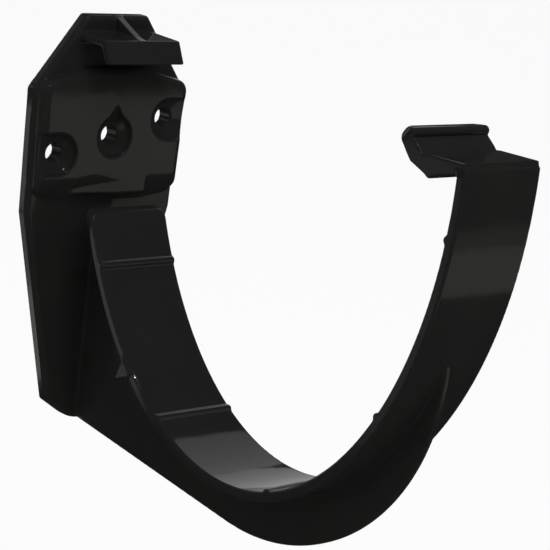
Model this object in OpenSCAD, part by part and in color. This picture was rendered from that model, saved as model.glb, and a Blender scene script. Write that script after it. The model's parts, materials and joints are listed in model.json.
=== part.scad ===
// Gutter bracket: a one-piece moulded fascia bracket for a deep elliptical gutter.
// The origin is the middle screw hole, where its axis meets the fascia.
// X runs along the gutter, -Y points away from the fascia and Z is up.

/* [Gutter] */
// Width of the gutter across its rims
gutter_w = 110; // [95:1:132]
// Depth of the gutter below its rims
gutter_d = 80; // [65:1:96]
// Gap between the fascia and the back of the gutter
rear_gap = 6.4; // [5.4:0.1:9]
// Height of the rims above the middle screw
rim_rise = 19.4; // [16:0.1:22]
// Tilt of the seat that lifts its front edge, in degrees
seat_tilt = 4.6; // [0:0.1:6]

/* [Strap] */
// Width of the strap along the gutter
strap_w = 21; // [16:0.1:26]
// Thickness of the strap
strap_t = 2.2; // [1.8:0.1:3]
// Where the strap starts, in degrees round the seat from the rear rim
strap_from = 22.6; // [20:0.1:27]
// Lead-in slope on the rear end, in degrees round the seat
strap_lead = 1.1; // [0:0.1:3]
// Where the strap stops, in degrees round the seat from the rear rim
strap_to = 174; // [170:0.1:175]
// Cut across the corners of the strap's rear end
strap_corner = 1.2; // [0.5:0.1:3]

/* [Seat ridges] */
// Number of ridges across the seat
ridge_n = 5; // [3:1:5]
// Height of a ridge above the seat
ridge_h = 0.6; // [0.4:0.1:0.8]
// Radius of a ridge's round crown
ridge_r = 0.9; // [0.8:0.05:1.1]
// Length of seat before the first ridge
ridge_first = 11.6; // [8:0.1:14]
// Distance along the seat from one ridge to the next
ridge_pitch = 37.1; // [30:0.1:38]
// Length of seat between the last ridge and the front clip
ridge_last = 12.2; // [8:0.1:16]

/* [Web] */
// Thickness of the web at the fascia
web_t = 2.6; // [2:0.1:3.4]
// Thickness of the web at the front of the strap
web_front_t = 1.4; // [1:0.1:2]
// Radius of the web's round lower edge
web_r = 49; // [48:0.1:51]
// Depth of the web below the strap where both are lowest
web_drop = 10.8; // [9:0.1:13]
// Distance of the round edge's centre in front of the middle of the gutter
web_centre_front = 1.9; // [0:0.1:4]
// Where the round edge turns straight, in degrees in front of its lowest point
web_turn = 8; // [4:0.5:14]
// Depth of the web's foot below the middle screw
foot_drop = 65.8; // [60:0.1:66]
// Where the brace under the strap starts, in degrees round the seat
brace_from = 48; // [42:0.5:60]
// Length of the brace, in degrees round the seat
brace_run = 4; // [3:0.5:7]
// Depth of the brace below the strap
brace_drop = 5.4; // [3:0.1:6]
// Distance that the brace's lower edge leans back to the fascia
brace_lean = 1.5; // [0:0.1:2]

/* [Back plate] */
// Width of the plate at its shoulders
plate_w = 42.2; // [36:0.1:50]
// Narrowing of the plate from its shoulders down to its waist
plate_draft = 1.2; // [0:0.1:2]
// Thickness of the plate
plate_t = 3.2; // [2.6:0.1:3.9]
// Top of the plate above the middle screw
plate_top = 26.8; // [25.5:0.1:30]
// Width of the plate's top edge
plate_top_w = 17; // [14:0.5:24]
// Height where the plate reaches its full width
shoulder_z = 10.7; // [8:0.1:13]
// Depth below the middle screw where the plate starts to narrow
waist_drop = 17.2; // [15:0.1:24]
// Depth of the plate's lower corners below the middle screw
heel_drop = 62; // [58:0.1:62.4]
// Width of the plate across its lower corners
heel_w = 20; // [17:0.1:26]
// Depth of the plate's round tip below the middle screw
plate_drop = 66.6; // [64:0.1:70]
// Radius of the round tip
tip_r = 8; // [6:0.5:9]
// Radius of the plate's corners
plate_corner = 1.2; // [0.8:0.1:3]
// Bevel round the front of the plate
plate_bevel = 0.75; // [0.3:0.05:1]

/* [Boss] */
// Height of the screw boss above the plate
boss_h = 2.6; // [2.1:0.1:3.2]
// Margin between the boss and the plate's sides
boss_margin = 0.6; // [0.4:0.1:2]
// Top of the boss above the middle screw
boss_top = 15.4; // [13.5:0.1:16]
// Width of the boss's top edge
boss_top_w = 15; // [8:0.5:18]
// Height of the boss's upper corners above the middle screw
boss_shoulder_z = 12.6; // [11:0.1:13]
// Depth of the boss's lower side corners below the middle screw
boss_drop = 13.4; // [12:0.1:14]
// Further depth of the boss's lower edge beside the tongue
belly_drop = 1.3; // [0:0.1:2]
// Depth where the boss's front starts to slope back to the plate
slope_from = 9.7; // [9.2:0.1:11]
// Radius of the boss's corners
boss_corner = 2.8; // [2.5:0.1:4]
// Radius of the boss's rounded edges
boss_r = 2; // [1:0.1:2.4]
// Depth of the tongue that runs down to the strap
tongue_drop = 13.2; // [12.6:0.1:14.5]
// Width of the tongue
tongue_w = 20.7; // [14:0.1:21]
// Radius of the tongue's edges
tongue_r = 0.6; // [0.3:0.1:1]

/* [Screw holes] */
// Diameter of the three screw holes
screw_d = 4.4; // [3.5:0.1:5]
// Distance from the middle hole to each side hole
screw_pitch = 15; // [13.5:0.1:18]
// Height that the right hole rises and the left hole drops
screw_step = 3.7; // [2:0.1:4]
// Diameter of the round recesses for the screw heads
head_d = 9.4; // [8:0.1:10]
// Depth of the recesses below the front of the boss
head_depth = 2.1; // [1.6:0.1:3]
// Width of the pointed notch above the middle recess
notch_w = 4; // [3:0.1:5]
// Height of the notch's point above the middle of the hole
notch_rise = 7; // [6:0.1:7.5]

/* [Rear hook] */
// Clearance between the gutter's rear rim and the hook
rim_clear = 1.7; // [0.6:0.1:2]
// Reach of the hook's top in front of the plate
hook_reach = 8.9; // [7.5:0.1:10.6]
// Fall of the hook's top towards the front
hook_fall = 0.5; // [0:0.1:1]
// Height of the hook's nose
nose_h = 4.9; // [4:0.1:5.2]
// Distance that the nose leans out towards its lower edge
nose_lean = 2.4; // [1:0.1:3]
// Thickness of the hook and of its nose
hook_t = 2; // [1.6:0.1:2.2]
// Thickness of the gusset that stands on the hook
hook_gusset_t = 1.9; // [1:0.1:2.5]

/* [Front clip] */
// Thickness of the shelf where it leaves the strap
shelf_t = 2.4; // [2:0.1:3]
// Length of the flat on top of the shelf
shelf_l = 8.2; // [7:0.1:10]
// Distance that the flat reaches out over the strap
shelf_over = 1.6; // [0.5:0.1:2]
// Distance from the strap to the barb
barb_reach = 6.9; // [5.5:0.1:8]
// Length of the thumb tab, between the centres of its round edges
tab_l = 9.4; // [7:0.1:11]
// Lean of the thumb tab above the level, in degrees
tab_lean = 39; // [30:1:50]
// Thickness of the thumb tab at its top
tab_t = 2.7; // [2.2:0.1:3.2]
// Length of the lip that turns forward on top of the tab
lip_l = 1.7; // [1:0.1:2.5]
// Rise of the lip towards its edge
lip_rise = 0.4; // [0:0.1:0.8]
// Thickness of the lip
lip_t = 2.1; // [1.6:0.1:2.6]
// Thickness of the barb under the shelf
barb_t = 1.8; // [1.4:0.1:2.4]
// Cut across the tab's upper corners
tab_corner = 1; // [0.5:0.1:3]

/* [Hidden] */
$fn = 48;
slab_fn = 32;          // steps round a slab's corners
small_fn = 24;         // steps round ridges and clip edges
seat_steps = 96;       // straight steps that follow the seat
arc_step = 2;          // degrees in a step of the web's round edge
arc_end = 92;          // degrees in front of its lowest point where that edge ends
eps = 0.01;            // overlap that keeps cuts clean
moulding = [0.12, 0.13, 0.12];
seat_centre = [-gutter_w / 2 - rear_gap, rim_rise];
hook_top = rim_rise + rim_clear + hook_t;
plate_face = -plate_t;
arm_root = -plate_t / 2;
boss_face = plate_face - boss_h;
head_floor = boss_face + head_depth;
waist_w = plate_w - plate_draft;
strap_end = seat(strap_from - strap_lead, strap_t);
tab_way = [cos(tab_lean), sin(tab_lean)];

// Sum of the items of a list up to item n
function sum_to(list, n) = n < 0 ? 0 : list[n] + sum_to(list, n - 1);

// Point [y, z] of the seat's ellipse at an angle from the rear rim, moved out by a wall
function seat(angle, out = 0) =
    let (w = gutter_w / 2,
         d = gutter_d,
         normal = [d * cos(angle), -w * sin(angle)],
         p = [w * cos(angle), -d * sin(angle)] + out * normal / norm(normal))
    seat_centre + [p.x * cos(seat_tilt) + p.y * sin(seat_tilt),
                   p.y * cos(seat_tilt) - p.x * sin(seat_tilt)];

// Points of the seat between two angles
function seat_curve(from, to, out = 0) =
    [for (i = [0:seat_steps]) seat(from + (to - from) * i / seat_steps, out)];

// Pairs of length along the strap and angle round the seat
function seat_lengths() =
    let (p = seat_curve(strap_from, strap_to),
         steps = [for (i = [1:seat_steps]) norm(p[i] - p[i - 1])])
    [for (i = [0:seat_steps])
        [sum_to(steps, i - 1), strap_from + (strap_to - strap_from) * i / seat_steps]];

// Extrudes a [y, z] section to a width that is centred on the bracket
module across(width) {
    rotate([90, 0, 90])
        translate([0, 0, -width / 2])
            linear_extrude(width) children();
}

// Stands a shape drawn in [x, z] up against the fascia, so that it rises along -Y
module facing(y = 0) {
    translate([0, y, 0]) rotate([90, 0, 0]) children();
}

// Slab with round corners [x, z, radius] and a bevelled or rounded front edge
module slab(corners, height, edge, rings) {
    hull()
        for (c = corners, i = [0:rings]) {
            turn = 90 * i / rings;
            translate([c[0], c[1], 0])
                cylinder(r = c[2] - edge * (1 - cos(turn)),
                         h = height - edge * (1 - sin(turn)), $fn = slab_fn);
        }
}

// Corners on both sides of the middle
function mirrored(corners) = concat(corners, [for (c = corners) [-c[0], c[1], c[2]]]);

module plate() {
    r = plate_corner;
    facing()
        slab(mirrored([[plate_top_w / 2 - r / 2, plate_top - r, r],
                       [plate_w / 2 - r, shoulder_z - r / 2, r],
                       [waist_w / 2 - r, -waist_drop, r],
                       [heel_w / 2 - r, r - heel_drop, r],
                       [0, tip_r - plate_drop, tip_r]]),
             plate_t, plate_bevel, 1);
}

// Raised pad round the screw holes; below them its front slopes back to the plate
module boss() {
    r = boss_corner;
    inset = r + boss_margin;
    low = boss_drop + belly_drop;
    intersection() {
        facing()
            slab(mirrored([[boss_top_w / 2, boss_top - r, r],
                           [plate_w / 2 - inset, boss_shoulder_z - r, r],
                           [waist_w / 2 - inset, r - boss_drop, r],
                           [tongue_w / 2, r - low, r]]),
                 plate_t + boss_h, boss_r, 4);
        across(plate_w)
            polygon([[0, plate_top], [0, -low - r], [plate_face, -low],
                     [boss_face, -slope_from], [boss_face, plate_top]]);
    }
}

// Tongue that carries the front of the boss down to the strap
module tongue() {
    x = tongue_w / 2 - tongue_r;
    facing()
        slab(mirrored([[x, 0, tongue_r], [x, tongue_r - tongue_drop, tongue_r]]),
             plate_t + boss_h, tongue_r / 2, 2);
}

// Recesses round the screw holes: a round one with a pointed notch, and two open-sided ones
module head_recesses() {
    depth = head_depth + eps;
    foot = sqrt(pow(head_d / 2, 2) - pow(notch_w / 2, 2));
    facing(head_floor) {
        cylinder(d = head_d, h = depth);
        linear_extrude(depth)
            polygon([[-notch_w / 2, 0], [-notch_w / 2, foot],
                     [0, notch_rise],
                     [notch_w / 2, foot], [notch_w / 2, 0]]);
        for (side = [-1, 1])
            translate([side * screw_pitch, side * screw_step, 0]) {
                cylinder(d = head_d, h = depth);
                translate([side * head_d / 2, 0, depth / 2])
                    cube([head_d, head_d, depth], center = true);
            }
    }
}

module screw_holes() {
    for (i = [-1:1])
        translate([i * screw_pitch, 0, i * screw_step])
            facing(eps) cylinder(d = screw_d, h = plate_t + boss_h + 2 * eps);
}

module rear_hook() {
    tip = plate_face - hook_reach;
    toe = tip - nose_lean;
    lean = nose_lean / nose_h;
    low = hook_top - hook_fall - nose_h;
    under = hook_top - hook_t;
    across(strap_w)
        polygon([[arm_root, hook_top],
                 [plate_face, hook_top],
                 [tip, hook_top - hook_fall],
                 [toe, low],
                 [toe + hook_t, low],
                 [toe + hook_t + lean * (under - low), under],
                 [arm_root, under]]);
    across(hook_gusset_t)
        polygon([[arm_root, plate_top],
                 [plate_face + plate_bevel, plate_top],
                 [tip, hook_top - hook_fall],
                 [arm_root, hook_top - hook_t / 2]]);
}

module strap() {
    up = strap_end - seat(strap_from, strap_t);
    difference() {
        across(strap_w)
            polygon(concat(seat_curve(strap_from, strap_to),
                           seat_curve(strap_to, strap_from - strap_lead, strap_t)));
        for (side = [-1, 1])
            translate([side * strap_w / 2, strap_end[0], strap_end[1]])
                rotate([-atan2(up[0], up[1]), 0, 0]) rotate([0, 45, 0])
                    cube([strap_corner * sqrt(2), 3 * strap_t, strap_corner * sqrt(2)],
                         center = true);
    }
}

module seat_ridges() {
    lengths = seat_lengths();
    for (i = [0:ridge_n - 1]) {
        along = i < ridge_n - 1 ? ridge_first + ridge_pitch * i
                                : lengths[seat_steps][0] - ridge_last;
        p = seat(lookup(along, lengths), ridge_r - ridge_h);
        translate([-strap_w / 2, p[0], p[1]])
            rotate([0, 90, 0]) cylinder(r = ridge_r, h = strap_w, $fn = small_fn);
    }
}

// Web [y, z]: a straight lower edge from the plate's foot that runs into a round one
module web_section() {
    centre = seat_centre - [web_centre_front, gutter_d + strap_t + web_drop - web_r];
    round_edge = [for (a = [-web_turn:arc_step:arc_end]) centre - web_r * [sin(a), cos(a)]];
    difference() {
        polygon(concat([[arm_root, strap_end[1]], [arm_root, -foot_drop]], round_edge));
        polygon(seat_curve(0, 180, strap_t / 2));
    }
}

module web() {
    reach = gutter_w + rear_gap + strap_t;
    intersection() {
        across(web_t) web_section();
        translate([0, 0, seat_centre[1] - 2 * gutter_d])
            linear_extrude(2 * gutter_d)
                polygon([[-web_t / 2, 0], [web_t / 2, 0],
                         [web_front_t / 2, -reach], [-web_front_t / 2, -reach]]);
    }
}

// Three-sided brace that crosses under the strap
module brace() {
    top = seat(brace_from, strap_t);
    across(strap_w)
        polygon([seat(brace_from, strap_t / 2),
                 top - [-brace_lean, brace_drop],
                 seat(brace_from + brace_run, strap_t),
                 seat(brace_from + brace_run, strap_t / 2)]);
}

// Shelf, barb, thumb tab and lip [y, z]
module clip_section() {
    root = seat(strap_to);
    barb = root + [barb_reach, -barb_t / 2];
    top = barb + tab_l * tab_way;
    polygon([root,
             seat(strap_to, strap_t) - [0, eps],
             root + [-shelf_over, shelf_t],
             root + [shelf_l, shelf_t],
             barb + tab_t * tab_way,
             barb - [0, barb_t / 2]]);
    hull() {
        translate(barb) circle(d = barb_t, $fn = small_fn);
        translate(top) circle(d = tab_t, $fn = small_fn);
    }
    hull() {
        translate(top) circle(d = tab_t, $fn = small_fn);
        translate(top + [-lip_l, lip_rise]) circle(d = lip_t, $fn = small_fn);
    }
}

module front_clip() {
    end = seat(strap_to) + [barb_reach, -barb_t / 2] + (tab_l + tab_t / 2) * tab_way;
    difference() {
        across(strap_w) clip_section();
        for (side = [-1, 1])
            translate([side * strap_w / 2, end[0], end[1]])
                rotate([tab_lean, 0, 0]) rotate([0, 0, 45])
                    cube([tab_corner * sqrt(2), tab_corner * sqrt(2), 4 * tab_t],
                         center = true);
    }
}

module bracket() {
    color(moulding)
        difference() {
            union() {
                plate();
                boss();
                tongue();
                rear_hook();
                strap();
                seat_ridges();
                web();
                brace();
                front_clip();
            }
            head_recesses();
            screw_holes();
        }
}

bracket();
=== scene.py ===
# %% [markdown]
# # Gutter bracket
# A fascia bracket for a deep elliptical gutter, moulded in one piece from a
# black gloss plastic. It has a back plate with three screw holes in a raised
# boss, a hook for the gutter's rear rim, a strap that follows the gutter
# round, a thin web that stiffens the strap and a clip for the front rim.
# The frame is the part's own: the origin is the middle screw hole at the
# fascia, X runs along the gutter, -Y points away from the fascia, Z is up.
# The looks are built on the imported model. Its box gives the plate's width and
# top and the limits that no vertex may pass, and its record gives the screw
# holes' radius and places. Shapes are worked out in millimetres and handed to
# Blender in metres.

# %% The frame that the looks are built on
import json

import bpy
import numpy as np
from mathutils import Matrix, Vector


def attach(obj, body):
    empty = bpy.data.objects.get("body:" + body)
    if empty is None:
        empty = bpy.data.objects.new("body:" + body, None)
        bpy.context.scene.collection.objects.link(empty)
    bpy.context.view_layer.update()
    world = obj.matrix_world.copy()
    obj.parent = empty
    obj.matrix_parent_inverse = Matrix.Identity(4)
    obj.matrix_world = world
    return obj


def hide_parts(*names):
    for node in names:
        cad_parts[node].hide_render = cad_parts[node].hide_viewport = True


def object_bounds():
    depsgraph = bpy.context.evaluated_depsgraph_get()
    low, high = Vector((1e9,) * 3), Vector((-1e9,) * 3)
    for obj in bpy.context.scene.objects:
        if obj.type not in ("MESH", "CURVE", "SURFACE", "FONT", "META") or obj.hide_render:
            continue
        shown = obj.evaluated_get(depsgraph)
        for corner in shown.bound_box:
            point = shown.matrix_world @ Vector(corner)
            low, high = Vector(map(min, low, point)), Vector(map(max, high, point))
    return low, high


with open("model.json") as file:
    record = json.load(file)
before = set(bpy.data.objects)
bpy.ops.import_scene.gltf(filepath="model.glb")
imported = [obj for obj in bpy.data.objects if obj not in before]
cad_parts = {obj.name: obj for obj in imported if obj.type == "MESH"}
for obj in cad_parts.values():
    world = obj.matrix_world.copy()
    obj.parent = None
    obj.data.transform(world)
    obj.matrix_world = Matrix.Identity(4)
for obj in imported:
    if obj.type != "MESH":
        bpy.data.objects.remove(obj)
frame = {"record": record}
cad_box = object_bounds()
mounts = {mount["name"]: mount for mount in frame["record"]["mounts"]}
print("CAD box:", cad_box, "mounts:", list(mounts))

# %% [markdown]
# ## Camera
# The bracket is seen from its left and front, a little above its middle, from
# under half a metre away, and the view is rolled a few degrees, as a camera
# held in the hand is. A camera is a rotation and a place: its own Z axis
# points back at the viewer and its X axis to the right. Turning X and Y by the
# roll angle about the line of sight tilts the camera.

# %% Camera
MM = 0.001
azimuth, elevation, roll = np.radians([-44.03, 13.017, 6.897])
target, distance = np.array([0, -62.07, -17.65]), 430.474
back = np.array([np.sin(azimuth) * np.cos(elevation),
                 -np.cos(azimuth) * np.cos(elevation),
                 np.sin(elevation)])
level = np.cross(-back, [0, 0, 1])
level /= np.linalg.norm(level)
upward = np.cross(level, -back)
pose = np.eye(4)
pose[:3, 0] = np.cos(roll) * level + np.sin(roll) * upward
pose[:3, 1] = np.cos(roll) * upward - np.sin(roll) * level
pose[:3, 2] = back
pose[:3, 3] = (target + distance * back) * MM

lens = bpy.data.cameras.new("camera")
lens.sensor_width = 36
lens.lens = 136.7
lens.clip_start = 0.01
camera = bpy.data.objects.new("camera", lens)
camera.matrix_world = Matrix(pose.tolist())
bpy.context.scene.collection.objects.link(camera)
bpy.context.scene.camera = camera
print("camera at", pose[:3, 3].round(3), "lens", round(lens.lens, 1), "mm")

# %% [markdown]
# ## How the moulding's shape is made
# On a moulded part no edge is sharp: every outer edge is rounded where the
# tool was polished, and every inner corner has a fillet that lets the plastic
# flow. Those small radii are what catch the light on a black gloss part, so
# they matter more than any colour. Beveling a solid with hundreds of faces
# tends to break where edges meet. A distance field does it everywhere at once:
# a function that gives each point its distance from the surface, below zero
# inside. Two shapes are joined by taking the smaller distance, cut by taking
# the larger, and a radius comes from measuring round the corner instead of
# into it. NumPy works on whole arrays, so one function serves a grid of
# points, where a section in Y and Z is worked out once for every X.

# %% Joining and cutting with a radius
def join(a, b, radius):
    """Both shapes, with a fillet between them: within the radius of both, the
    distance is the radius less the length of how far each lies inside it."""
    reach = np.hypot(np.maximum(radius - a, 0), np.maximum(radius - b, 0))
    return np.maximum(radius, np.minimum(a, b)) - reach


def common(a, b, radius):
    """What both shapes hold, with the edge between them rounded: the fillet's
    formula with inside and outside changed over."""
    return -join(-a, -b, radius)


def cut(a, b, radius):
    """The first shape without the second, with the edge rounded."""
    return common(a, -b, radius)


print("square corner with a 2 mm radius, at its old tip:",
      round(float(common(np.float64(0), np.float64(0), 2.0)), 3), "mm")

# %% [markdown]
# ## Flat outlines
# Nearly every feature is a flat shape carried straight through, so its distance
# is that of its outline. Four kinds are enough: a disc, a straight line, a
# closed outline of straight sides, and a capsule for walls with round ends.

# %% Flat outlines
def disc(p, q, centre, radius):
    """Distance from a disc: the distance from its centre less its radius."""
    return np.hypot(p - centre[0], q - centre[1]) - radius


def beyond(p, q, start, end):
    """Distance from the straight line through two points, above zero on the
    left of the way from the first to the second."""
    along = np.subtract(end, start) / np.linalg.norm(np.subtract(end, start))
    return along[0] * (q - start[1]) - along[1] * (p - start[0])


def outline(p, q, corners):
    """Distance from a closed outline: the distance to the nearest of its
    sides, below zero where a line out of the point crosses an odd number of
    sides."""
    nearest, inside = np.inf, False
    for start, end in zip(corners, np.roll(corners, -1, axis=0)):
        side = end - start
        run = np.clip(((p - start[0]) * side[0] + (q - start[1]) * side[1])
                      / (side @ side), 0, 1)
        nearest = np.minimum(nearest, np.hypot(p - start[0] - run * side[0],
                                               q - start[1] - run * side[1]))
        if side[1]:
            crossing = start[0] + (q - start[1]) * side[0] / side[1]
            inside = inside ^ (((start[1] > q) != (end[1] > q)) & (p < crossing))
    return np.where(inside, -nearest, nearest)


def capsule(p, q, start, end, first, last):
    """Distance from two discs and all between them: the distance from the
    line that joins them less a radius that changes evenly along it."""
    side = np.subtract(end, start)
    run = np.clip(((p - start[0]) * side[0] + (q - start[1]) * side[1])
                  / (side @ side), 0, 1)
    return np.hypot(p - start[0] - run * side[0],
                    q - start[1] - run * side[1]) - first - (last - first) * run


square = np.array([[0, 0], [2, 0], [2, 2], [0, 2]], float)
print("middle of a 2 mm square:", outline(1.0, 1.0, square))

# %% [markdown]
# ## The seat
# The gutter is a half ellipse 110 mm wide and 80 mm deep, and the bracket
# holds it tilted a few degrees, front edge up. The strap's inner face is that
# ellipse, so its distance function has to be smooth: straight steps would show
# as facets in the gloss. The nearest point of an ellipse has no plain formula.
# It is found by steps that each take the ellipse for the circle that fits it
# best near the last guess.

# %% The seat's ellipse
gutter_w, gutter_d = 110, 80
rear_gap, rim_rise = 6.4, 19.4
seat_tilt = np.radians(4.6)
seat_centre = np.array([-gutter_w / 2 - rear_gap, rim_rise])


def seat_point(angle, out=0.0):
    """Point [y, z] at an angle in degrees from the rear rim, moved out along
    the ellipse's normal."""
    turn = np.radians(angle)
    w, d = gutter_w / 2, gutter_d
    normal = np.array([d * np.cos(turn), -w * np.sin(turn)])
    flat = (np.array([w * np.cos(turn), -d * np.sin(turn)])
            + out * normal / np.hypot(*normal))
    tilt = np.array([[np.cos(seat_tilt), np.sin(seat_tilt)],
                     [-np.sin(seat_tilt), np.cos(seat_tilt)]])
    return seat_centre + tilt @ flat


def seat_distance(y, z):
    """Distance from the ellipse, above zero outside it: the point is turned
    into the ellipse's own axes, and the centre of the circle that fits there
    gives the direction to the nearest point, six times over."""
    w, d = gutter_w / 2, float(gutter_d)
    p = ((y - seat_centre[0]) * np.cos(seat_tilt)
         - (z - seat_centre[1]) * np.sin(seat_tilt))
    q = ((y - seat_centre[0]) * np.sin(seat_tilt)
         + (z - seat_centre[1]) * np.cos(seat_tilt))
    p, q = np.abs(p), np.abs(q)
    c, s = 0.7071, 0.7071
    for _ in range(6):
        ex, ey = (w * w - d * d) * c ** 3 / w, (d * d - w * w) * s ** 3 / d
        ratio = (np.hypot(w * c - ex, d * s - ey)
                 / np.maximum(np.hypot(p - ex, q - ey), 1e-9))
        c = np.clip(((p - ex) * ratio + ex) / w, 0, 1)
        s = np.clip(((q - ey) * ratio + ey) / d, 0, 1)
        length = np.hypot(c, s)
        c, s = c / length, s / length
    gap = np.hypot(p - w * c, q - d * s)
    return np.where((p / w) ** 2 + (q / d) ** 2 > 1, gap, -gap)


lowest = seat_point(90)
print("lowest of the seat:", lowest.round(2), "its distance:",
      float(seat_distance(*lowest).round(6)),
      " 2 mm out:", float(seat_distance(*seat_point(60, 2.0)).round(4)))

# %% [markdown]
# ## Strap and ridges
# The strap is a band as wide as a thumb and 2.2 mm thick. Its rear end slopes
# as a lead-in and has its two corners cut off, so the gutter slides past it.
# Five low ridges cross the seat and carry the gutter, so that it doesn't stick
# and grit can fall through. A band is the seat's distance with half the
# thickness taken off both ways, and its width cuts it across X. In front the
# band runs on by one degree, into the clip.

# %% Strap
strap_w, strap_t = 21, 2.2
strap_from, strap_lead, strap_to, strap_corner = 22.6, 1.1, 174, 1.2
into_clip = 1
edge_r, fillet_r, least_r = 0.4, 0.5, 0.1
ridge_h, ridge_r, ridge_fillet = 0.6, 0.9, 0.35
ridge_n, ridge_first, ridge_pitch, ridge_last = 5, 11.6, 37.1, 12.2


def ridge_places():
    """Points [y, z] of the ridges' centres: the seat is measured in fine
    steps, and each ridge's length along it is looked up for its angle."""
    angles = np.linspace(strap_from, strap_to, 600)
    line = np.array([seat_point(a) for a in angles])
    lengths = np.append(0, np.cumsum(np.hypot(*np.diff(line, axis=0).T)))
    along = ridge_first + ridge_pitch * np.arange(ridge_n)
    along[-1] = lengths[-1] - ridge_last
    return [seat_point(a, ridge_h / 2) for a in np.interp(along, lengths, angles)]


def strap(x, y, z):
    """The seat's band with its ridges joined on, cut by the lead-in slope, by
    the strap's two sides and by the two corner cuts."""
    wall = np.abs(seat_distance(y, z) - strap_t / 2) - strap_t / 2
    for centre in ridge_places():
        wall = join(wall, disc(y, z, centre, ridge_r), ridge_fillet)
    rear = beyond(y, z, seat_point(strap_from),
                  seat_point(strap_from - strap_lead, strap_t))
    front = beyond(y, z, seat_point(strap_to + into_clip, strap_t),
                   seat_point(strap_to + into_clip))
    end = np.where(y > seat_centre[0], rear, front)
    wall = common(wall, end, edge_r)
    side = np.abs(x) - strap_w / 2
    corner = (side + end + strap_corner * (y > seat_centre[0])) / np.sqrt(2)
    return common(common(wall, side, edge_r), corner, edge_r)


print("ridges at", [tuple(p.round(1).tolist()) for p in ridge_places()])
print("in the strap's wall:",
      round(float(strap(0.0, *seat_point(80, strap_t / 2))), 2), "mm")

# %% [markdown]
# ## Front clip
# The strap ends in a shelf that the gutter's front rim sits under, a rounded
# barb that the rim snaps past and a thumb tab that leans up and back over the
# gutter to let it go. The tab's underside swells in the middle, and it ends in
# a lip that turns forward. Its section is made of capsules and one outline, and
# its outer corners are rounded in the tab's own plane.

# %% Front clip
tab_lean, tab_l, tab_t, tab_corner = np.radians(39), 9.4, 2.7, 2.5
tab_swell, tab_swell_t = 0.5, 0.4
lip_l, lip_rise, lip_r = 1.7, 0.4, 1.05
barb_reach, barb_t, barb_in = 6.9, 1.8, 2
shelf_t, shelf_l, shelf_over, shelf_fillet = 2.4, 8.2, 1.6, 0.8


def clip(x, y, z):
    """The shelf's outline joined to the capsules of the tab and its lip, cut
    by the strap's width and by round corners at the tab's end."""
    root, rim = seat_point(strap_to), seat_point(strap_to, strap_t)
    barb = root + [barb_reach, -barb_t / 2]
    up = np.array([np.cos(tab_lean), np.sin(tab_lean)])
    top = barb + tab_l * up
    shelf = outline(y, z, np.array([root, barb + [0, -barb_t / 2], barb + barb_in,
                                    root + [shelf_l, shelf_t],
                                    root + [-shelf_over, shelf_t], rim]))
    swell = (barb + top) / 2 + tab_swell * np.array([up[1], -up[0]])
    thick = tab_t / 2 + tab_swell_t
    tab = np.minimum(capsule(y, z, barb, swell, barb_t / 2, thick),
                     capsule(y, z, swell, top, thick, tab_t / 2))
    lip = capsule(y, z, top, top + [-lip_l, lip_rise], tab_t / 2, lip_r)
    section = join(shelf, np.minimum(tab, lip), shelf_fillet)
    side = np.abs(x) - strap_w / 2
    end = (y - top[0]) * up[0] + (z - top[1]) * up[1] - tab_t / 2
    corner = common(side, end, tab_corner)
    return common(section, corner, edge_r)


print("clip's front edge y:", round(float(seat_point(strap_to, strap_t)[0]), 1))

# %% [markdown]
# ## Web and brace
# Behind the strap a single thin web carries the load back to the plate. Its
# lower edge runs straight from the plate's foot and then turns into a circle
# that meets the strap at the front. The web is thicker at the fascia than at
# the front, so it leaves the tool easily. A small three-sided brace crosses
# under the strap, not far from the plate. Web and hook start 1 mm in front of
# the fascia, inside the plate, so that they are joined to it all round.

# %% Web and brace
root_y = -1
web_t, web_front_t, web_reach, web_edge = 2.6, 1.4, 118, 0.35
web_r, web_turn, web_drop, foot_drop = 49, np.radians(8), 0.6, 65.8
web_centre = seat_centre - [1.9, 44]
brace_from, brace_to, brace_lean, brace_drop = 48, 52, 1.5, 5.4


def web(x, y, z):
    """The disc of the round edge and the outline between it and the plate's
    foot, without the seat, cut by a half thickness that shrinks forward."""
    turn = web_centre + web_r * np.array([np.sin(web_turn), -np.cos(web_turn)])
    top = seat_point(strap_from, strap_t / 2)[1] - web_drop
    rear = outline(y, z, np.array([[root_y, top], [root_y, -foot_drop],
                                   turn, web_centre]))
    section = common(np.minimum(rear, disc(y, z, web_centre, web_r)),
                     strap_t / 2 - seat_distance(y, z), least_r)
    half = web_t / 2 + (web_front_t - web_t) / 2 * -y / web_reach
    return common(section, np.abs(x) - half, web_edge)


def brace(x, y, z):
    """Three sides under the strap, cut by the strap's width."""
    toe = seat_point(brace_from, strap_t) + [brace_lean, -brace_drop]
    section = outline(y, z, np.array([seat_point(brace_from, strap_t / 2), toe,
                                      seat_point(brace_to, strap_t),
                                      seat_point(brace_to, strap_t / 2)]))
    return common(section, np.abs(x) - strap_w / 2, edge_r)


print("web's lowest z:", round(float(web_centre[1] - web_r), 1))

# %% [markdown]
# ## Back plate
# The plate stands flat on the fascia. It has sloping shoulders, a waist and a
# round tip, and a bevel runs round its front. An outline with round corners is
# a smaller outline grown by the corner radius.

# %% Back plate
box_low, box_high = np.round(np.array(cad_box) / MM, 2).tolist()
plate_w, plate_top = box_high[0] - box_low[0], box_high[2]
waist_w, heel_w, plate_top_w = 41, 20, 17
shoulder_z, waist_drop, heel_drop = 10.7, 17.2, 62
plate_drop, tip_r, plate_corner, plate_bevel = 66.6, 8, 1.2, 0.75
plate_t, back_edge, bevel_edge, tip_end = 3.2, 0.3, 0.25, np.radians(-86)


def both_sides(half):
    """A half outline [x, z] from top to bottom, closed with its mirror."""
    half = np.array(half, float)
    return np.concatenate([half, (half * [-1, 1])[::-1]])


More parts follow.
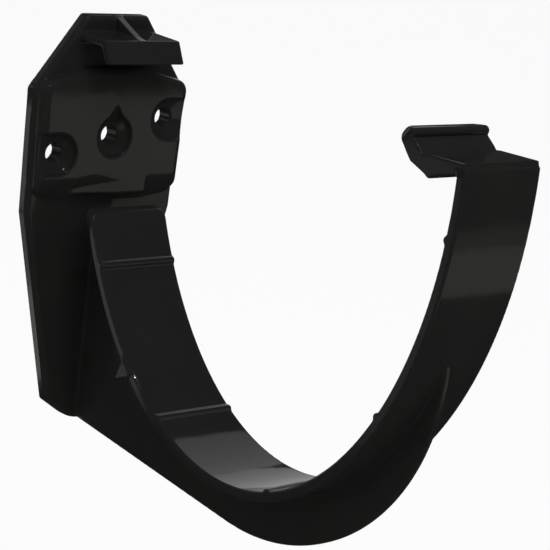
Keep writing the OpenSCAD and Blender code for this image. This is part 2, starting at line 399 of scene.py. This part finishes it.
def plate(x, y, z):
    """The grown outline between the fascia and the plate's front, cut by a
    45 degree bevel that starts 0.75 mm from both. The round tip is an arc
    that starts where the lower sides touch it and ends just off the middle,
    where its mirror goes on."""
    r = plate_corner
    heel = np.array([heel_w / 2 - r, r - heel_drop])
    middle = np.array([0, tip_r - plate_drop])
    way = heel - middle
    lean = np.arctan2(way[1], way[0]) - np.arccos((tip_r - r) / np.hypot(*way))
    half = [[plate_top_w / 2 - r / 2, plate_top - r],
            [plate_w / 2 - r, shoulder_z - r / 2], [waist_w / 2 - r, -waist_drop], heel]
    half += [middle + (tip_r - r) * np.array([np.cos(a), np.sin(a)])
             for a in np.linspace(lean, tip_end, 16)]
    side = outline(x, z, both_sides(half)) - r
    bevel = (side - y - plate_t + plate_bevel) / np.sqrt(2)
    slab = common(side, -y - plate_t, least_r)
    return common(common(slab, bevel, bevel_edge), y, back_edge)


print("plate", round(plate_w, 2), "mm wide, top z", plate_top, "thickness at its foot:",
      round(-2 * float(plate(0.0, -1.6, -50.0)), 2))

# %% [markdown]
# ## Boss
# The boss is a raised pad with generous round edges. Below the screws its
# front slopes back to the plate, and only a tongue in the middle runs on down
# to the strap. The tongue's left half is scooped: a shallow hollow that deepens
# towards the left under a slanting upper wall.

# %% Boss
boss_h = 2.6
boss_face = -plate_t - boss_h
boss_top_w, boss_top, boss_shoulder_z = 15, 15.4, 12.6
boss_margin, boss_drop, belly_drop, slope_from = 0.6, 13.4, 1.3, 9.7
boss_corner, boss_round = 2.8, 2.0
tongue_w, tongue_drop, tongue_r = 20.7, 13.2, 0.6
scoop_tip, scoop_lean = (3.4, -9.8), np.radians(8)
scoop_run, scoop_wall, scoop_depth, scoop_curve = 9, 2.6, 0.9, 1.3


def scoop(x, z):
    """Depth of the hollow: it grows on a smooth step to the left of its tip,
    is full below a line that slopes at 8 degrees and fades up a curved wall
    above it."""
    grow = np.clip((scoop_tip[0] - x) / scoop_run, 0, 1)
    full = grow * grow * (3 - 2 * grow)
    over = (z - scoop_tip[1]) * np.cos(scoop_lean) - (x - scoop_tip[0]) * np.sin(scoop_lean)
    rise = np.clip(over / (least_r + scoop_wall * full), 0, 1)
    return scoop_depth * full * (1 - rise) ** scoop_curve


def boss(x, y, z):
    """A grown outline with 2 mm round edges in front. Its front face is met
    by a slope that starts below the recesses, except in the column of the
    tongue, where the front runs on down to the tongue's own lower edge."""
    r, low = boss_corner, -boss_drop - belly_drop
    half = [[boss_top_w / 2, boss_top - r],
            [plate_w / 2 - boss_margin - r, boss_shoulder_z - r],
            [waist_w / 2 - boss_margin - r, r - boss_drop], [tongue_w / 2, r + low]]
    side = outline(x, z, both_sides(half)) - r
    incline = beyond(y, z, (-plate_t, low), (boss_face, -slope_from))
    tongue = common(np.abs(x) - tongue_w / 2, -z - tongue_drop, tongue_r)
    pad = common(side, boss_face - y + scoop(x, z), boss_round)
    return common(pad, join(incline, tongue, fillet_r), fillet_r)


print("scoop's depth at the tongue's left:", round(float(scoop(-9.5, -12.5)), 2), "mm")

# %% [markdown]
# ## Screw recesses and holes
# A screw's head sinks into a round recess. The middle one has a small pointed
# notch on top, and the two side ones run out through the sides, one higher and
# one lower, so that the screws enter different grain of the board. Each floor
# is dished towards its hole and guides the screw in, and each hole narrows
# towards the fascia, so that the pin that shapes it slides out forward.

# %% Screw recesses and holes
screw_r, screw_draft = mounts["right_screw"]["dims"]["r_mm"], 0.054
screw_pitch, _, screw_step = (round(v / MM, 3) for v in mounts["right_screw"]["pos_m"])
head_r, head_floor, head_dish, dish_limit = 4.7, -3.7, np.radians(15), 1.2
side_recess_r = 0.7
notch_w, notch_from, notch_foot, notch_tip = 4, 3, 4.2, 7.0
notch_deep, notch_shallow, notch_r = 1.9, 0.3, 0.3


def head_seat(x, y, z, centre):
    """Distance above a recess's floor: the floor rises away from the hole's
    edge at 15 degrees, to 1.2 mm at most."""
    dish = np.maximum(disc(x, z, centre, screw_r), 0) * np.tan(head_dish)
    return (y - head_floor + np.minimum(dish, dish_limit)) * np.cos(head_dish)


def recesses(x, y, z):
    """Round and open-sided recesses above their floors, and the notch over
    the middle one, which gets shallower towards its tip."""
    middle = common(disc(x, z, (0, 0), head_r), head_seat(x, y, z, (0, 0)), fillet_r)
    notch = outline(x, z, np.array([[-notch_w / 2, notch_from], [notch_w / 2, notch_from],
                                    [notch_w / 2, notch_foot], [0, notch_tip],
                                    [-notch_w / 2, notch_foot]]))
    ramp = beyond(y, z, (boss_face + notch_shallow, notch_tip),
                  (boss_face + notch_deep, notch_foot))
    notch = common(notch, ramp, notch_r)
    left = np.hypot(np.maximum(x + screw_pitch, 0), z + screw_step) - head_r
    right = np.hypot(np.minimum(x - screw_pitch, 0), z - screw_step) - head_r
    left_seat = head_seat(x, y, z, (-screw_pitch, -screw_step))
    right_seat = head_seat(x, y, z, (screw_pitch, screw_step))
    left = common(left, left_seat, side_recess_r)
    right = common(right, right_seat, side_recess_r)
    return np.minimum(np.minimum(middle, notch), np.minimum(left, right))


def screw_holes(x, y, z):
    """Three round holes on one slanting row, 4.4 mm wide at the recesses'
    floors and 4.0 mm at the fascia."""
    radius = screw_r - screw_draft * (y - head_floor)
    return np.minimum.reduce([disc(x, z, (i * screw_pitch, i * screw_step), radius)
                              for i in (-1, 0, 1)])


print("screws", screw_pitch, "mm apart, stepped by", screw_step, "mm, hole at the fascia:",
      round(-2 * float(screw_holes(0.0, 0.0, 0.0)), 2), "mm wide")

# %% [markdown]
# ## Rear hook
# Above the boss a short shelf reaches out over the gutter's rear rim, with a
# small space above the rim, and its nose turns down in front of it. A thin
# gusset stands on the shelf and braces it against the plate.

# %% Rear hook
hook_t, hook_reach, hook_fall, hook_edge = 2.0, 8.9, 0.5, 0.35
rim_space = 1.7
hook_top = rim_rise + rim_space + hook_t
nose_h, nose_lean = 4.9, 2.4
gusset_t, gusset_in, gusset_sunk, gusset_edge = 1.9, 0.3, 1, 0.2


def hook(x, y, z):
    """The section of shelf and nose cut by the strap's width, joined to the
    gusset's three sides."""
    face, tip = -plate_t, -plate_t - hook_reach
    toe, low, under = tip - nose_lean, hook_top - hook_fall - nose_h, hook_top - hook_t
    inner = toe + hook_t + nose_lean / nose_h * (under - low)
    section = outline(y, z, np.array([[root_y, hook_top], [face, hook_top],
                                      [tip, hook_top - hook_fall], [toe, low],
                                      [toe + hook_t, low], [inner, under],
                                      [root_y, under]]))
    shelf = common(section, np.abs(x) - strap_w / 2, hook_edge)
    gusset = outline(y, z, np.array([[root_y, plate_top],
                                     [face + plate_bevel, plate_top],
                                     [tip + gusset_in, hook_top - hook_fall - gusset_in],
                                     [root_y, hook_top - gusset_sunk]]))
    gusset = common(gusset, np.abs(x) - gusset_t / 2, gusset_edge)
    return join(shelf, gusset, fillet_r)


print("hook's nose reaches y", round(-plate_t - hook_reach - nose_lean, 1))

# %% [markdown]
# ## The whole moulding
# All the pieces are joined with a small fillet, and the recesses and screw
# holes are cut last, so their rims are rounded wherever they break a surface.
# Where strap and clip share one smooth outer face a fillet would swell it, so
# there its radius fades out and it stays only in the inner corner.

# %% The whole moulding
recess_rim, hole_rim, root_fillet = 0.45, 0.3, 0.8
faded_fillet, fade_end = 0.02, 1.5


def bracket(x, y, z):
    """Distance from the bracket's surface, in millimetres. The fillet between
    strap and clip fades between 0.5 and 1.5 mm outside the seat."""
    back_plate = join(plate(x, y, z), boss(x, y, z), fillet_r)
    back_plate = cut(back_plate, recesses(x, y, z), recess_rim)
    back_plate = cut(back_plate, screw_holes(x, y, z), hole_rim)
    fading = np.clip(fade_end - seat_distance(y, z), 0, 1)
    inner = faded_fillet + (fillet_r - faded_fillet) * fading
    arm = join(strap(x, y, z), clip(x, y, z), inner)
    arm = join(arm, join(web(x, y, z), brace(x, y, z), fillet_r), fillet_r)
    whole = join(join(back_plate, hook(x, y, z), fillet_r), arm, root_fillet)
    return np.maximum(whole, y)


print("middle of the web:", round(float(bracket(0.0, -30.0, -60.0).item()), 2), "mm")

# %% [markdown]
# ## From distances to a mesh
# Space is cut into cells a little over a third of a millimetre wide. Every
# cell that the surface passes through gets one vertex, the mean of the points
# where it crosses the cell's edges, and every grid edge that it crosses gets
# one face between the four cells round that edge. Both are whole-array steps,
# and because every crossed edge gets its face, the mesh is closed.

# %% Surface cells
CELL = 0.36
cell_corners = [(i, j, k) for i in (0, 1) for j in (0, 1) for k in (0, 1)]


def cell_points(field, where):
    """One point for each cell, in steps of the grid: the mean of the places
    where the surface crosses its edges, each found by the share of the two
    distances at the edge's ends."""
    total, hits = np.zeros((len(where), 3)), np.zeros(len(where))
    for a in cell_corners:
        for axis in range(3):
            if a[axis]:
                continue
            b = tuple(v + (n == axis) for n, v in enumerate(a))
            fa = field[tuple((where + a).T)]
            fb = field[tuple((where + b).T)]
            crossed = (fa < 0) != (fb < 0)
            share = np.where(crossed, fa / np.where(fa == fb, 1, fa - fb), 0)
            point = where + a + np.eye(3)[axis] * share[:, None]
            total += np.where(crossed[:, None], point, 0)
            hits += crossed
    return total / hits[:, None]


def cell_faces(inside, number):
    """One face for each crossed grid edge, from the numbers of the four cells
    round it, turned so that it looks outward."""
    faces = []
    for axis in range(3):
        u, v = (axis + 1) % 3, (axis + 2) % 3
        first, second = np.moveaxis(inside, axis, 0)[:-1], np.moveaxis(inside, axis, 0)[1:]
        edge = np.argwhere(first != second)
        starts = first[tuple(edge.T)]
        place = np.empty_like(edge)
        place[:, [axis] + [n for n in range(3) if n != axis]] = edge
        ring = [place.copy() for _ in range(4)]
        ring[1][:, u] -= 1
        ring[2][:, [u, v]] -= 1
        ring[3][:, v] -= 1
        quad = np.stack([number[tuple(r.T)] for r in ring], axis=1)
        quad[~starts] = quad[~starts][:, ::-1]
        faces.append(quad)
    return np.concatenate(faces)


def surface_cells(field, axes):
    """Vertices and four-sided faces of the zero surface of a field on a grid:
    the cells with corners on both sides of it are numbered in turn."""
    inside = field < 0
    cells = tuple(n - 1 for n in field.shape)
    count = sum(inside[i:i + cells[0], j:j + cells[1], k:k + cells[2]].astype(np.int8)
                for i, j, k in cell_corners)
    where = np.argwhere((count > 0) & (count < 8))
    number = np.full(cells, -1, np.int64)
    number[tuple(where.T)] = np.arange(len(where))
    low = np.array([a[0] for a in axes])
    step = np.array([a[1] - a[0] for a in axes])
    return low + cell_points(field, where) * step, cell_faces(inside, number)


margin = 1.7 * CELL
axes = [np.arange(lo - margin, hi + margin, CELL)
        for lo, hi in zip(np.array(cad_box[0]) / MM, np.array(cad_box[1]) / MM)]
grid = bracket(axes[0][:, None, None].astype(np.float32),
               axes[1][None, :, None].astype(np.float32),
               axes[2][None, None, :].astype(np.float32))
points, faces = surface_cells(grid, axes)
print("grid", grid.shape, "->", len(points), "vertices,", len(faces), "faces")

# %% [markdown]
# A cell's vertex is near the surface, not on it. Moving each one down the
# field's slope by its own distance, twice, puts it there. The same slope is
# the surface's true normal, and giving it to the mesh makes a 0.4 mm radius
# shade smoothly although only one or two faces cross it. Flat and straight
# stretches don't need their small faces, so Decimate merges those first and
# leaves the radii alone. After it, the vertices go back onto the surface.

# %% Onto the true surface
def slope(points, h=0.03):
    """The field's slope at each point: the difference of the distances a
    small step to both sides, along each axis."""
    x, y, z = points.T
    return np.stack([bracket(x + h, y, z) - bracket(x - h, y, z),
                     bracket(x, y + h, z) - bracket(x, y - h, z),
                     bracket(x, y, z + h) - bracket(x, y, z - h)], axis=1) / (2 * h)


def settle(points, rounds):
    """Each point less its distance along the slope, never further than half
    a cell, kept inside the CAD box."""
    low, high = np.array(cad_box[0]) / MM, np.array(cad_box[1]) / MM
    for _ in range(rounds):
        way = slope(points)
        step = bracket(*points.T)[:, None] * way / np.maximum((way ** 2).sum(1), 0.1)[:, None]
        reach = np.maximum(np.linalg.norm(step, axis=1), 1e-9)[:, None]
        points = points - step * np.minimum(1, CELL / 2 / reach)
    return np.clip(points, low, high)


points = settle(points.astype(float), 2)
off = np.abs(bracket(*points.T))
print("furthest from the surface:", round(float(off.max()), 3), "mm, mean",
      round(float(off.mean()), 5))

# %% [markdown]
# ## The mesh
# foreach_set hands whole arrays to Blender at once, which is far quicker than a
# loop over vertices. The dense mesh goes through Decimate to 180,000 triangles,
# which keeps the file small enough to share. Where both halves of a four-sided
# face are left, Decimate joins them again, so there are fewer faces than that.

# %% The mesh
def mesh_from(name, points, faces):
    """A mesh of four-sided faces from whole arrays, in metres."""
    mesh = bpy.data.meshes.new(name)
    mesh.vertices.add(len(points))
    mesh.vertices.foreach_set("co", (points * MM).astype(np.float32).ravel())
    mesh.loops.add(faces.size)
    mesh.loops.foreach_set("vertex_index", faces.astype(np.int32).ravel())
    mesh.polygons.add(len(faces))
    mesh.polygons.foreach_set("loop_start", np.arange(0, faces.size, 4, dtype=np.int32))
    mesh.update(calc_edges=True)
    mesh.validate()
    return mesh


def thinned(mesh, triangles):
    """A copy of the mesh with about that many triangles, by Decimate."""
    probe = bpy.data.objects.new("probe", mesh)
    bpy.context.scene.collection.objects.link(probe)
    thin = probe.modifiers.new("thin", "DECIMATE")
    thin.ratio = min(1, triangles / (2 * len(mesh.polygons)))
    graph = bpy.context.evaluated_depsgraph_get()
    result = bpy.data.meshes.new_from_object(probe.evaluated_get(graph))
    bpy.data.objects.remove(probe)
    return result


TRIANGLES = 180_000
dense = mesh_from("dense", points, faces)
shape = thinned(dense, TRIANGLES)
shape.name = "moulding"
flat = np.empty(len(shape.vertices) * 3, np.float32)
shape.vertices.foreach_get("co", flat)
settled = settle(flat.reshape(-1, 3).astype(float) / MM, 2)
shape.vertices.foreach_set("co", (settled * MM).astype(np.float32).ravel())
way = slope(settled)
way /= np.maximum(np.linalg.norm(way, axis=1), 1e-9)[:, None]
shape.polygons.foreach_set("use_smooth", np.ones(len(shape.polygons), bool))
shape.update()
shape.normals_split_custom_set_from_vertices(way.tolist())
moulding = bpy.data.objects.new("moulding", shape)
bpy.context.scene.collection.objects.link(moulding)
print("moulding:", len(shape.vertices), "vertices,", len(shape.polygons), "faces")

# %% [markdown]
# ## Shader sums in plain Python
# A node graph is easier to read as a sum. A small class wraps a node's output
# socket and turns +, -, *, /, < and > on it into Math nodes, and one method
# makes any other node from its type, its settings and what goes into its
# sockets.

# %% Sockets as numbers
class Wire:
    """An output socket that can be added, multiplied and compared."""

    def __init__(self, kit, socket):
        self.kit, self.socket = kit, socket

    def maths(self, operation, first, second=None):
        """A Math node of that operation on one or two values."""
        values = {0: first} if second is None else {0: first, 1: second}
        return self.kit.node("ShaderNodeMath", {"operation": operation}, values)

    def __add__(self, other):
        return self.maths("ADD", self, other)

    def __sub__(self, other):
        return self.maths("SUBTRACT", self, other)

    def __rsub__(self, other):
        return self.maths("SUBTRACT", other, self)

    def __mul__(self, other):
        return self.maths("MULTIPLY", self, other)

    def __truediv__(self, other):
        return self.maths("DIVIDE", self, other)

    def __rtruediv__(self, other):
        return self.maths("DIVIDE", other, self)

    def __lt__(self, other):
        return self.maths("LESS_THAN", self, other)

    def __gt__(self, other):
        return self.maths("GREATER_THAN", self, other)

    def __abs__(self):
        return self.maths("ABSOLUTE", self)

    __radd__, __rmul__ = __add__, __mul__


class Kit:
    """Makes the nodes of one material or world."""

    def __init__(self, owner):
        owner.use_nodes = True
        self.tree = owner.node_tree
        self.tree.nodes.clear()

    def node(self, kind, settings=None, inputs=None, output=0):
        """A node of that type with its settings and the values or wires that
        go into its sockets. Gives the wire of one output, if it has any."""
        made = self.tree.nodes.new(kind)
        for name, value in (settings or {}).items():
            setattr(made, name, value)
        for name, value in (inputs or {}).items():
            if isinstance(value, Wire):
                self.tree.links.new(value.socket, made.inputs[name])
            else:
                made.inputs[name].default_value = value
        return Wire(self, made.outputs[output]) if len(made.outputs) else None

    def between(self, low, high, value):
        """0 below low, 1 above high, smooth between."""
        return self.node("ShaderNodeMapRange", {"interpolation_type": "SMOOTHSTEP"},
                         {"Value": value, "From Min": low, "From Max": high})

    def ray_kinds(self):
        """Two wires: 1 for rays from the camera, and 1 for mirror rays."""
        path = self.node("ShaderNodeLightPath").socket.node
        return [Wire(self, path.outputs[name]) for name in ("Is Camera Ray", "Is Glossy Ray")]

    def blend(self, factor, first, second):
        """The first colour where the factor is 0, the second where it is 1."""
        return self.node("ShaderNodeMix", {"data_type": "RGBA"},
                         {0: factor, 6: first, 7: second}, 2)

    def noise(self, at, scale, detail=2.0, rough=0.5):
        """Smooth noise from 0 to 1, its scale in waves per metre."""
        return self.node("ShaderNodeTexNoise", {},
                         {"Vector": at, "Scale": scale, "Detail": detail,
                          "Roughness": rough})


trial = bpy.data.materials.new("trial")
kit = Kit(trial)
print("1 - x makes a", (1 - kit.node("ShaderNodeValue")).socket.node.operation, "node")
bpy.data.materials.remove(trial)

# %% [markdown]
# ## Black gloss plastic
# The plastic is a near-black polymer straight from a polished tool. What the
# eye sees is mostly its reflections, so the finish lives in the roughness and
# the normal: the very slight waviness of a surface that shrank as it cooled, a
# finer peel on it, hair-fine rub marks from noise that is stretched one way,
# and dull smudges where it was handled. A few specks are lighter. A parting
# line runs along the middle of the strap's outer face, the web's edge and the
# clip, where the tool's two halves met: it is a thin slice at X = 0, outside
# the ellipse of the strap's middle and in front of the boss. It is a fine ridge
# in the normal and a rougher line, and its tone is also painted lighter: a
# painted highlight for the light that the ridge catches.

# %% The plastic
plastic = bpy.data.materials.new("black_gloss_plastic")
kit = Kit(plastic)
spot = kit.node("ShaderNodeTexCoord", output=3)
parts = kit.node("ShaderNodeSeparateXYZ", {}, {"Vector": spot}).socket.node
across_x, forward_y, upward_z = (Wire(kit, parts.outputs[axis]) for axis in "XYZ")

waves = kit.noise(spot, 90, 2.0)
peel = kit.noise(spot, 1400, 1.0)
stretched = kit.node("ShaderNodeMapping", {}, {"Vector": spot, "Scale": (1, 14, 14),
                                               "Rotation": (0.5, 0.35, 0.2)})
rubs = kit.between(0.66, 0.8, kit.noise(stretched, 260, 3.0, 0.7))
smudges = kit.between(0.52, 0.72, kit.noise(spot, 55, 4.0, 0.65))
specks = kit.between(0.74, 0.80, kit.noise(spot, 1500, 0.0))

# Mask of the parting line: its ridge and roughness are real, and it also carries a painted
# highlight in the tone.
seam_r, seam_from = 0.11 * MM, -10.5 * MM
middle_w, middle_d = (gutter_w + strap_t) / 2 * MM, (gutter_d + strap_t / 2) * MM
seat_y = (forward_y - seat_centre[0] * MM) / middle_w
seat_z = (upward_z - seat_centre[1] * MM) / middle_d
on_strap = (seat_y * seat_y + seat_z * seat_z > 1) * (forward_y < seam_from)
seam_and_painted_highlight = (abs(across_x) < seam_r) * on_strap

tone = kit.blend(waves, (0.0098, 0.0102, 0.0094, 1), (0.0132, 0.0138, 0.0126, 1))
tone = kit.blend(smudges * 0.35, tone, (0.016, 0.016, 0.014, 1))
tone = kit.blend(specks * 0.1, tone, (0.05, 0.05, 0.045, 1))
# Painted highlight: the tone along the parting line is made lighter, for the light its ridge
# catches.
tone = kit.blend(seam_and_painted_highlight * 0.15, tone, (0.03, 0.032, 0.028, 1))
gloss = 0.07 + waves * 0.03 + smudges * 0.06 + rubs * 0.06 + seam_and_painted_highlight * 0.05
height = waves * 0.35 + peel * 0.004 + seam_and_painted_highlight * 0.006 - rubs * 0.003
relief = kit.node("ShaderNodeBump", {}, {"Strength": 0.25, "Distance": 0.0006,
                                         "Height": height})
shader = kit.node("ShaderNodeBsdfPrincipled", {},
                  {"Base Color": tone, "Roughness": gloss, "IOR": 1.5, "Normal": relief})
kit.node("ShaderNodeOutputMaterial", {}, {"Surface": shader})
moulding.data.materials.append(plastic)
print("plastic nodes:", len(plastic.node_tree.nodes))

# %% [markdown]
# ## Stage
# The camera sees a plain white floor and background. Black gloss shows its
# surroundings as a mirror does, and a studio round a black part is kept dark
# apart from pale cards, whose edges draw its shape. So the plastic's mirror
# rays see a dark room and the cards. One set is upright behind the fascia:
# those on the left show in the bracket's left sides, and those on the right in
# its seat. The other stands in front on the right, and shows in the lower boss
# and the strap's outer face. The cards are hidden from the camera, so that
# none blocks another view.

# %% Floor and cards
wall_y = 110


def card(name, corners, shade):
    """A flat four-sided card from its corners in millimetres, which gives off
    an even light of that strength and isn't seen by the camera itself."""
    mesh = bpy.data.meshes.new(name)
    mesh.from_pydata((np.array(corners) * MM).tolist(), [], [(0, 1, 2, 3)])
    sheet = bpy.data.objects.new(name, mesh)
    finish = bpy.data.materials.new(name)
    kit = Kit(finish)
    glow = kit.node("ShaderNodeEmission", {}, {"Color": (*shade, 1), "Strength": 1})
    kit.node("ShaderNodeOutputMaterial", {}, {"Surface": glow})
    mesh.materials.append(finish)
    sheet.visible_camera = False
    sheet.visible_shadow = False
    sheet.visible_diffuse = False
    bpy.context.scene.collection.objects.link(sheet)


def wall_card(name, corners, shade):
    """A card on the wall behind the bracket, from its corners [x, z]."""
    card(name, [(x, wall_y, z) for x, z in corners], shade)


wall_card("seat_card", [(120, -64), (188, -64), (188, 60), (120, 60)], (0.65, 0.65, 0.65))
wall_card("high_seat_card", [(100, 60), (228, 60), (450, 430), (240, 430)], (0.5, 0.5, 0.5))
wall_card("strap_side_card", [(-105, -52), (-136, -52), (-136, -120), (-105, -84)],
          (0.4, 0.4, 0.4))
wall_card("far_side_card", [(-272, -138), (-228, -138), (-228, -30), (-272, -30)],
          (0.2, 0.2, 0.2))
wall_card("plate_side_card", [(-114, -50), (-96, -50), (-96, -19), (-114, -19)],
          (0.55, 0.55, 0.55))
wall_card("bore_card", [(-94, -72), (-10, -72), (-10, 78), (-94, 78)], (0.45, 0.45, 0.43))
wall_card("foot_side_card", [(-90, -104), (-60, -104), (-60, -76), (-90, -76)],
          (0.42, 0.42, 0.4))
wall_card("low_side_card", [(-90, -133), (-60, -133), (-60, -104), (-90, -104)],
          (0.72, 0.72, 0.68))
wall_card("shoulder_card", [(-65, 85), (-45, 85), (-45, 110), (-65, 110)],
          (0.16, 0.16, 0.16))


def front_card(name, y, x, z, shade):
    """An upright card in front on the right, from its ends in x and z."""
    card(name, [(x[0], y, z[0]), (x[1], y, z[0]), (x[1], y, z[1]), (x[0], y, z[1])],
         shade)


front_card("boss_card", -110, (35, 125), (-42, -10.5), (0.30, 0.31, 0.27))
front_card("strap_card", -260, (60, 320), (-138, -82), (0.26, 0.27, 0.23))
front_card("dim_card", -260, (60, 320), (-82, -62), (0.11, 0.11, 0.09))

floor_r, floor_z = 4000, -140
floor_corners = [(x * floor_r * MM, y * floor_r * MM, floor_z * MM)
                 for x, y in ((-1, -1), (1, -1), (1, 1), (-1, 1))]
floor_mesh = bpy.data.meshes.new("floor")
floor_mesh.from_pydata(floor_corners, [], [(0, 1, 2, 3)])
floor = bpy.data.objects.new("floor", floor_mesh)
bpy.context.scene.collection.objects.link(floor)
paint = bpy.data.materials.new("pale_floor")
kit = Kit(paint)
seen, mirrored = kit.ray_kinds()
pale = kit.node("ShaderNodeBsdfDiffuse", {}, {"Color": (0.86, 0.86, 0.86, 1)})
white = kit.node("ShaderNodeEmission", {}, {"Color": (1, 1, 1, 1), "Strength": 1})
dark = kit.node("ShaderNodeEmission", {}, {"Color": (0.015, 0.015, 0.015, 1), "Strength": 1})
mixed = kit.node("ShaderNodeMixShader", {}, {0: seen * 0.9, 1: pale, 2: white})
mixed = kit.node("ShaderNodeMixShader", {}, {0: mirrored, 1: mixed, 2: dark})
kit.node("ShaderNodeOutputMaterial", {}, {"Surface": mixed})
floor_mesh.materials.append(paint)

# %% [markdown]
# ## World and lamps
# The world is white to the camera and nearly black to mirror rays, and gives
# an even light to everything else. A large soft lamp high in front on the left
# adds the broad shading, and isn't mirrored. A lamp less than a centimetre wide
# is, and puts small bright sparks on the round edges.

# %% World and lamps
world = bpy.data.worlds.new("studio")
bpy.context.scene.world = world
kit = Kit(world)
seen, mirrored = kit.ray_kinds()
shade = kit.blend(mirrored, (0.6, 0.6, 0.6, 1), (0.025, 0.026, 0.027, 1))
shade = kit.blend(seen, shade, (1, 1, 1, 1))
sky = kit.node("ShaderNodeBackground", {}, {"Color": shade, "Strength": 1})
kit.node("ShaderNodeOutputWorld", {}, {"Surface": sky})
bpy.context.scene.view_settings.view_transform = "Standard"

lamp = bpy.data.lights.new("softbox", "AREA")
lamp.shape, lamp.size, lamp.size_y, lamp.energy = "RECTANGLE", 0.5, 0.5, 3.0
softbox = bpy.data.objects.new("softbox", lamp)
softbox.location = (-0.24, -0.60, 0.66)
softbox.visible_glossy = False
aim = np.array(softbox.location) - [0, -0.06, -0.02]
softbox.rotation_euler = (np.arctan2(np.hypot(aim[0], aim[1]), aim[2]), 0,
                          np.arctan2(aim[0], -aim[1]))
bpy.context.scene.collection.objects.link(softbox)
print("softbox at", tuple(round(v, 2) for v in softbox.location))

spark = bpy.data.lights.new("spark", "POINT")
spark.energy, spark.shadow_soft_size = 3.0, 0.004
bulb = bpy.data.objects.new("spark", spark)
bulb.location = (-0.12, -0.30, 0.60)
bpy.context.scene.collection.objects.link(bulb)
print("spark at", tuple(round(v, 2) for v in bulb.location))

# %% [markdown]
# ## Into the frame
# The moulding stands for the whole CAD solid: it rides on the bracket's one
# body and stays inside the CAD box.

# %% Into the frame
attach(moulding, "root")
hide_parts("bracket")
print("CAD box:   ", [tuple(round(v * 1000, 2) for v in c) for c in cad_box])
